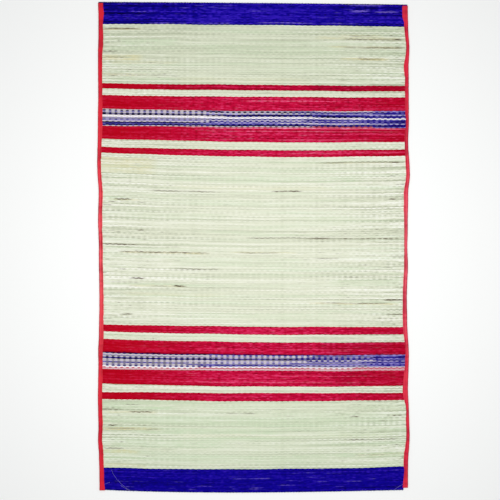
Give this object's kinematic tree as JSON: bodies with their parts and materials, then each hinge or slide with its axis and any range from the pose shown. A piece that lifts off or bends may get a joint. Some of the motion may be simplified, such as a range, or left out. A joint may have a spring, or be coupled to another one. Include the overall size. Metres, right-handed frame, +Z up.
{
  "type": "woven grass mat",
  "caption": "Flat rectangular floor mat woven of split grass stalks on cotton threads, with dyed end bands and cross stripes, and folded cotton tape sewn over both long sides.",
  "frame": {"origin": "on the floor under the middle of the mat", "axes": "+Y along the mat towards its narrower blue end band, +X across it, +Z up"},
  "size_m": [1.22, 1.9146, 0.0039],
  "materials": {
    "sedge_weave": "split sedge stalks woven on cotton threads, natural straw with dyed blue and crimson bands, low sheen",
    "red_tape": "woven cotton tape, folded and sewn, matt"
  },
  "bodies": {
    "root": {"mat_panel": "sedge_weave", "binding_left": "red_tape", "binding_right": "red_tape"}
  },
  "joints": []
}
